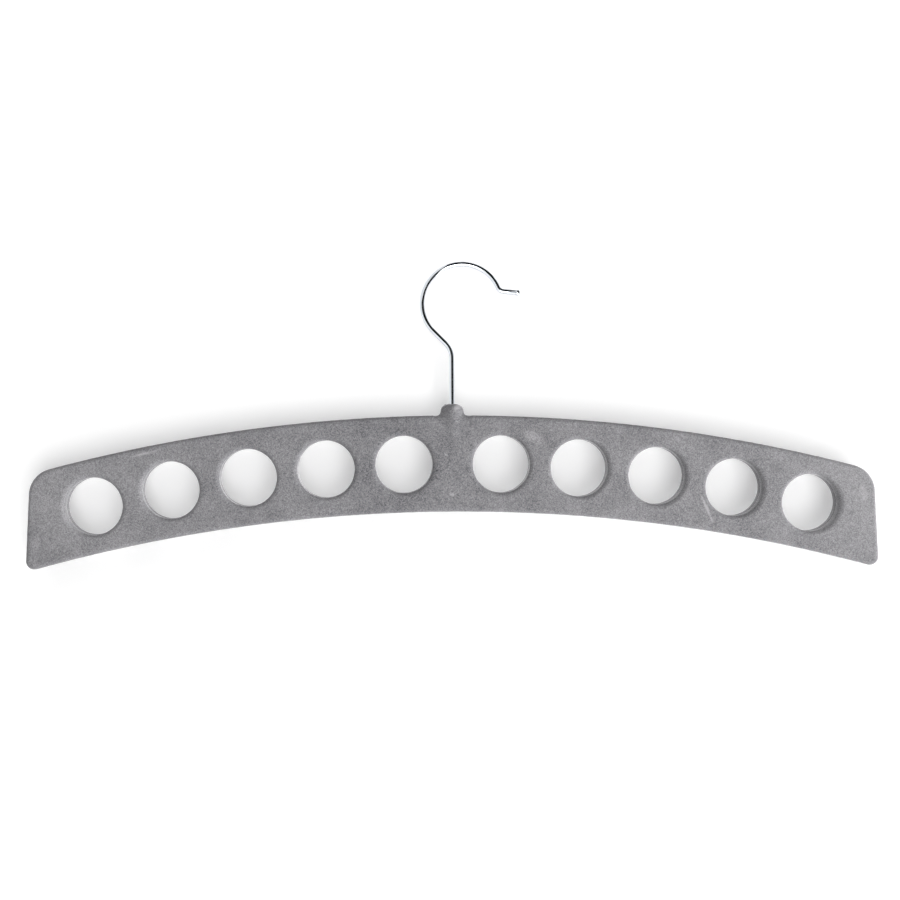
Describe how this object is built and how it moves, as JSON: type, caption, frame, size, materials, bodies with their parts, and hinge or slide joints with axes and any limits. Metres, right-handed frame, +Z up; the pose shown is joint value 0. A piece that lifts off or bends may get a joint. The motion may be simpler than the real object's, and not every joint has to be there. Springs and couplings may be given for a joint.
{
  "type": "tie hanger",
  "caption": "Arched flat hanger bar with a row of round holes for ties and a swivelling wire hook in a central neck.",
  "frame": {"origin": "inner crown of the hook, in the middle of the wire's thickness, where the rail touches it", "axes": "+X along the bar, towards the hook's tip; +Y through the bar's thickness, towards its back; +Z up as it hangs"},
  "size_m": [0.45, 0.0124, 0.1621],
  "materials": {
    "flocked_abs": "grey velvet flock on moulded ABS",
    "chrome_wire": "bright chrome plating on steel wire",
    "acetal": "natural moulded acetal",
    "zinc_steel": "zinc-plated steel"
  },
  "bodies": {
    "bar": {"front_shell": "flocked_abs", "back_shell": "flocked_abs", "swivel_bush": "acetal", "thrust_washer": "zinc_steel"},
    "hook": {"hook_wire": "chrome_wire"}
  },
  "joints": [
    {"name": "hook_swivel", "type": "hinge", "parent": "bar", "child": "hook", "pos_m": [-0.0055, 0, -0.073], "axis": [0, 0, -1], "continuous": true}
  ]
}
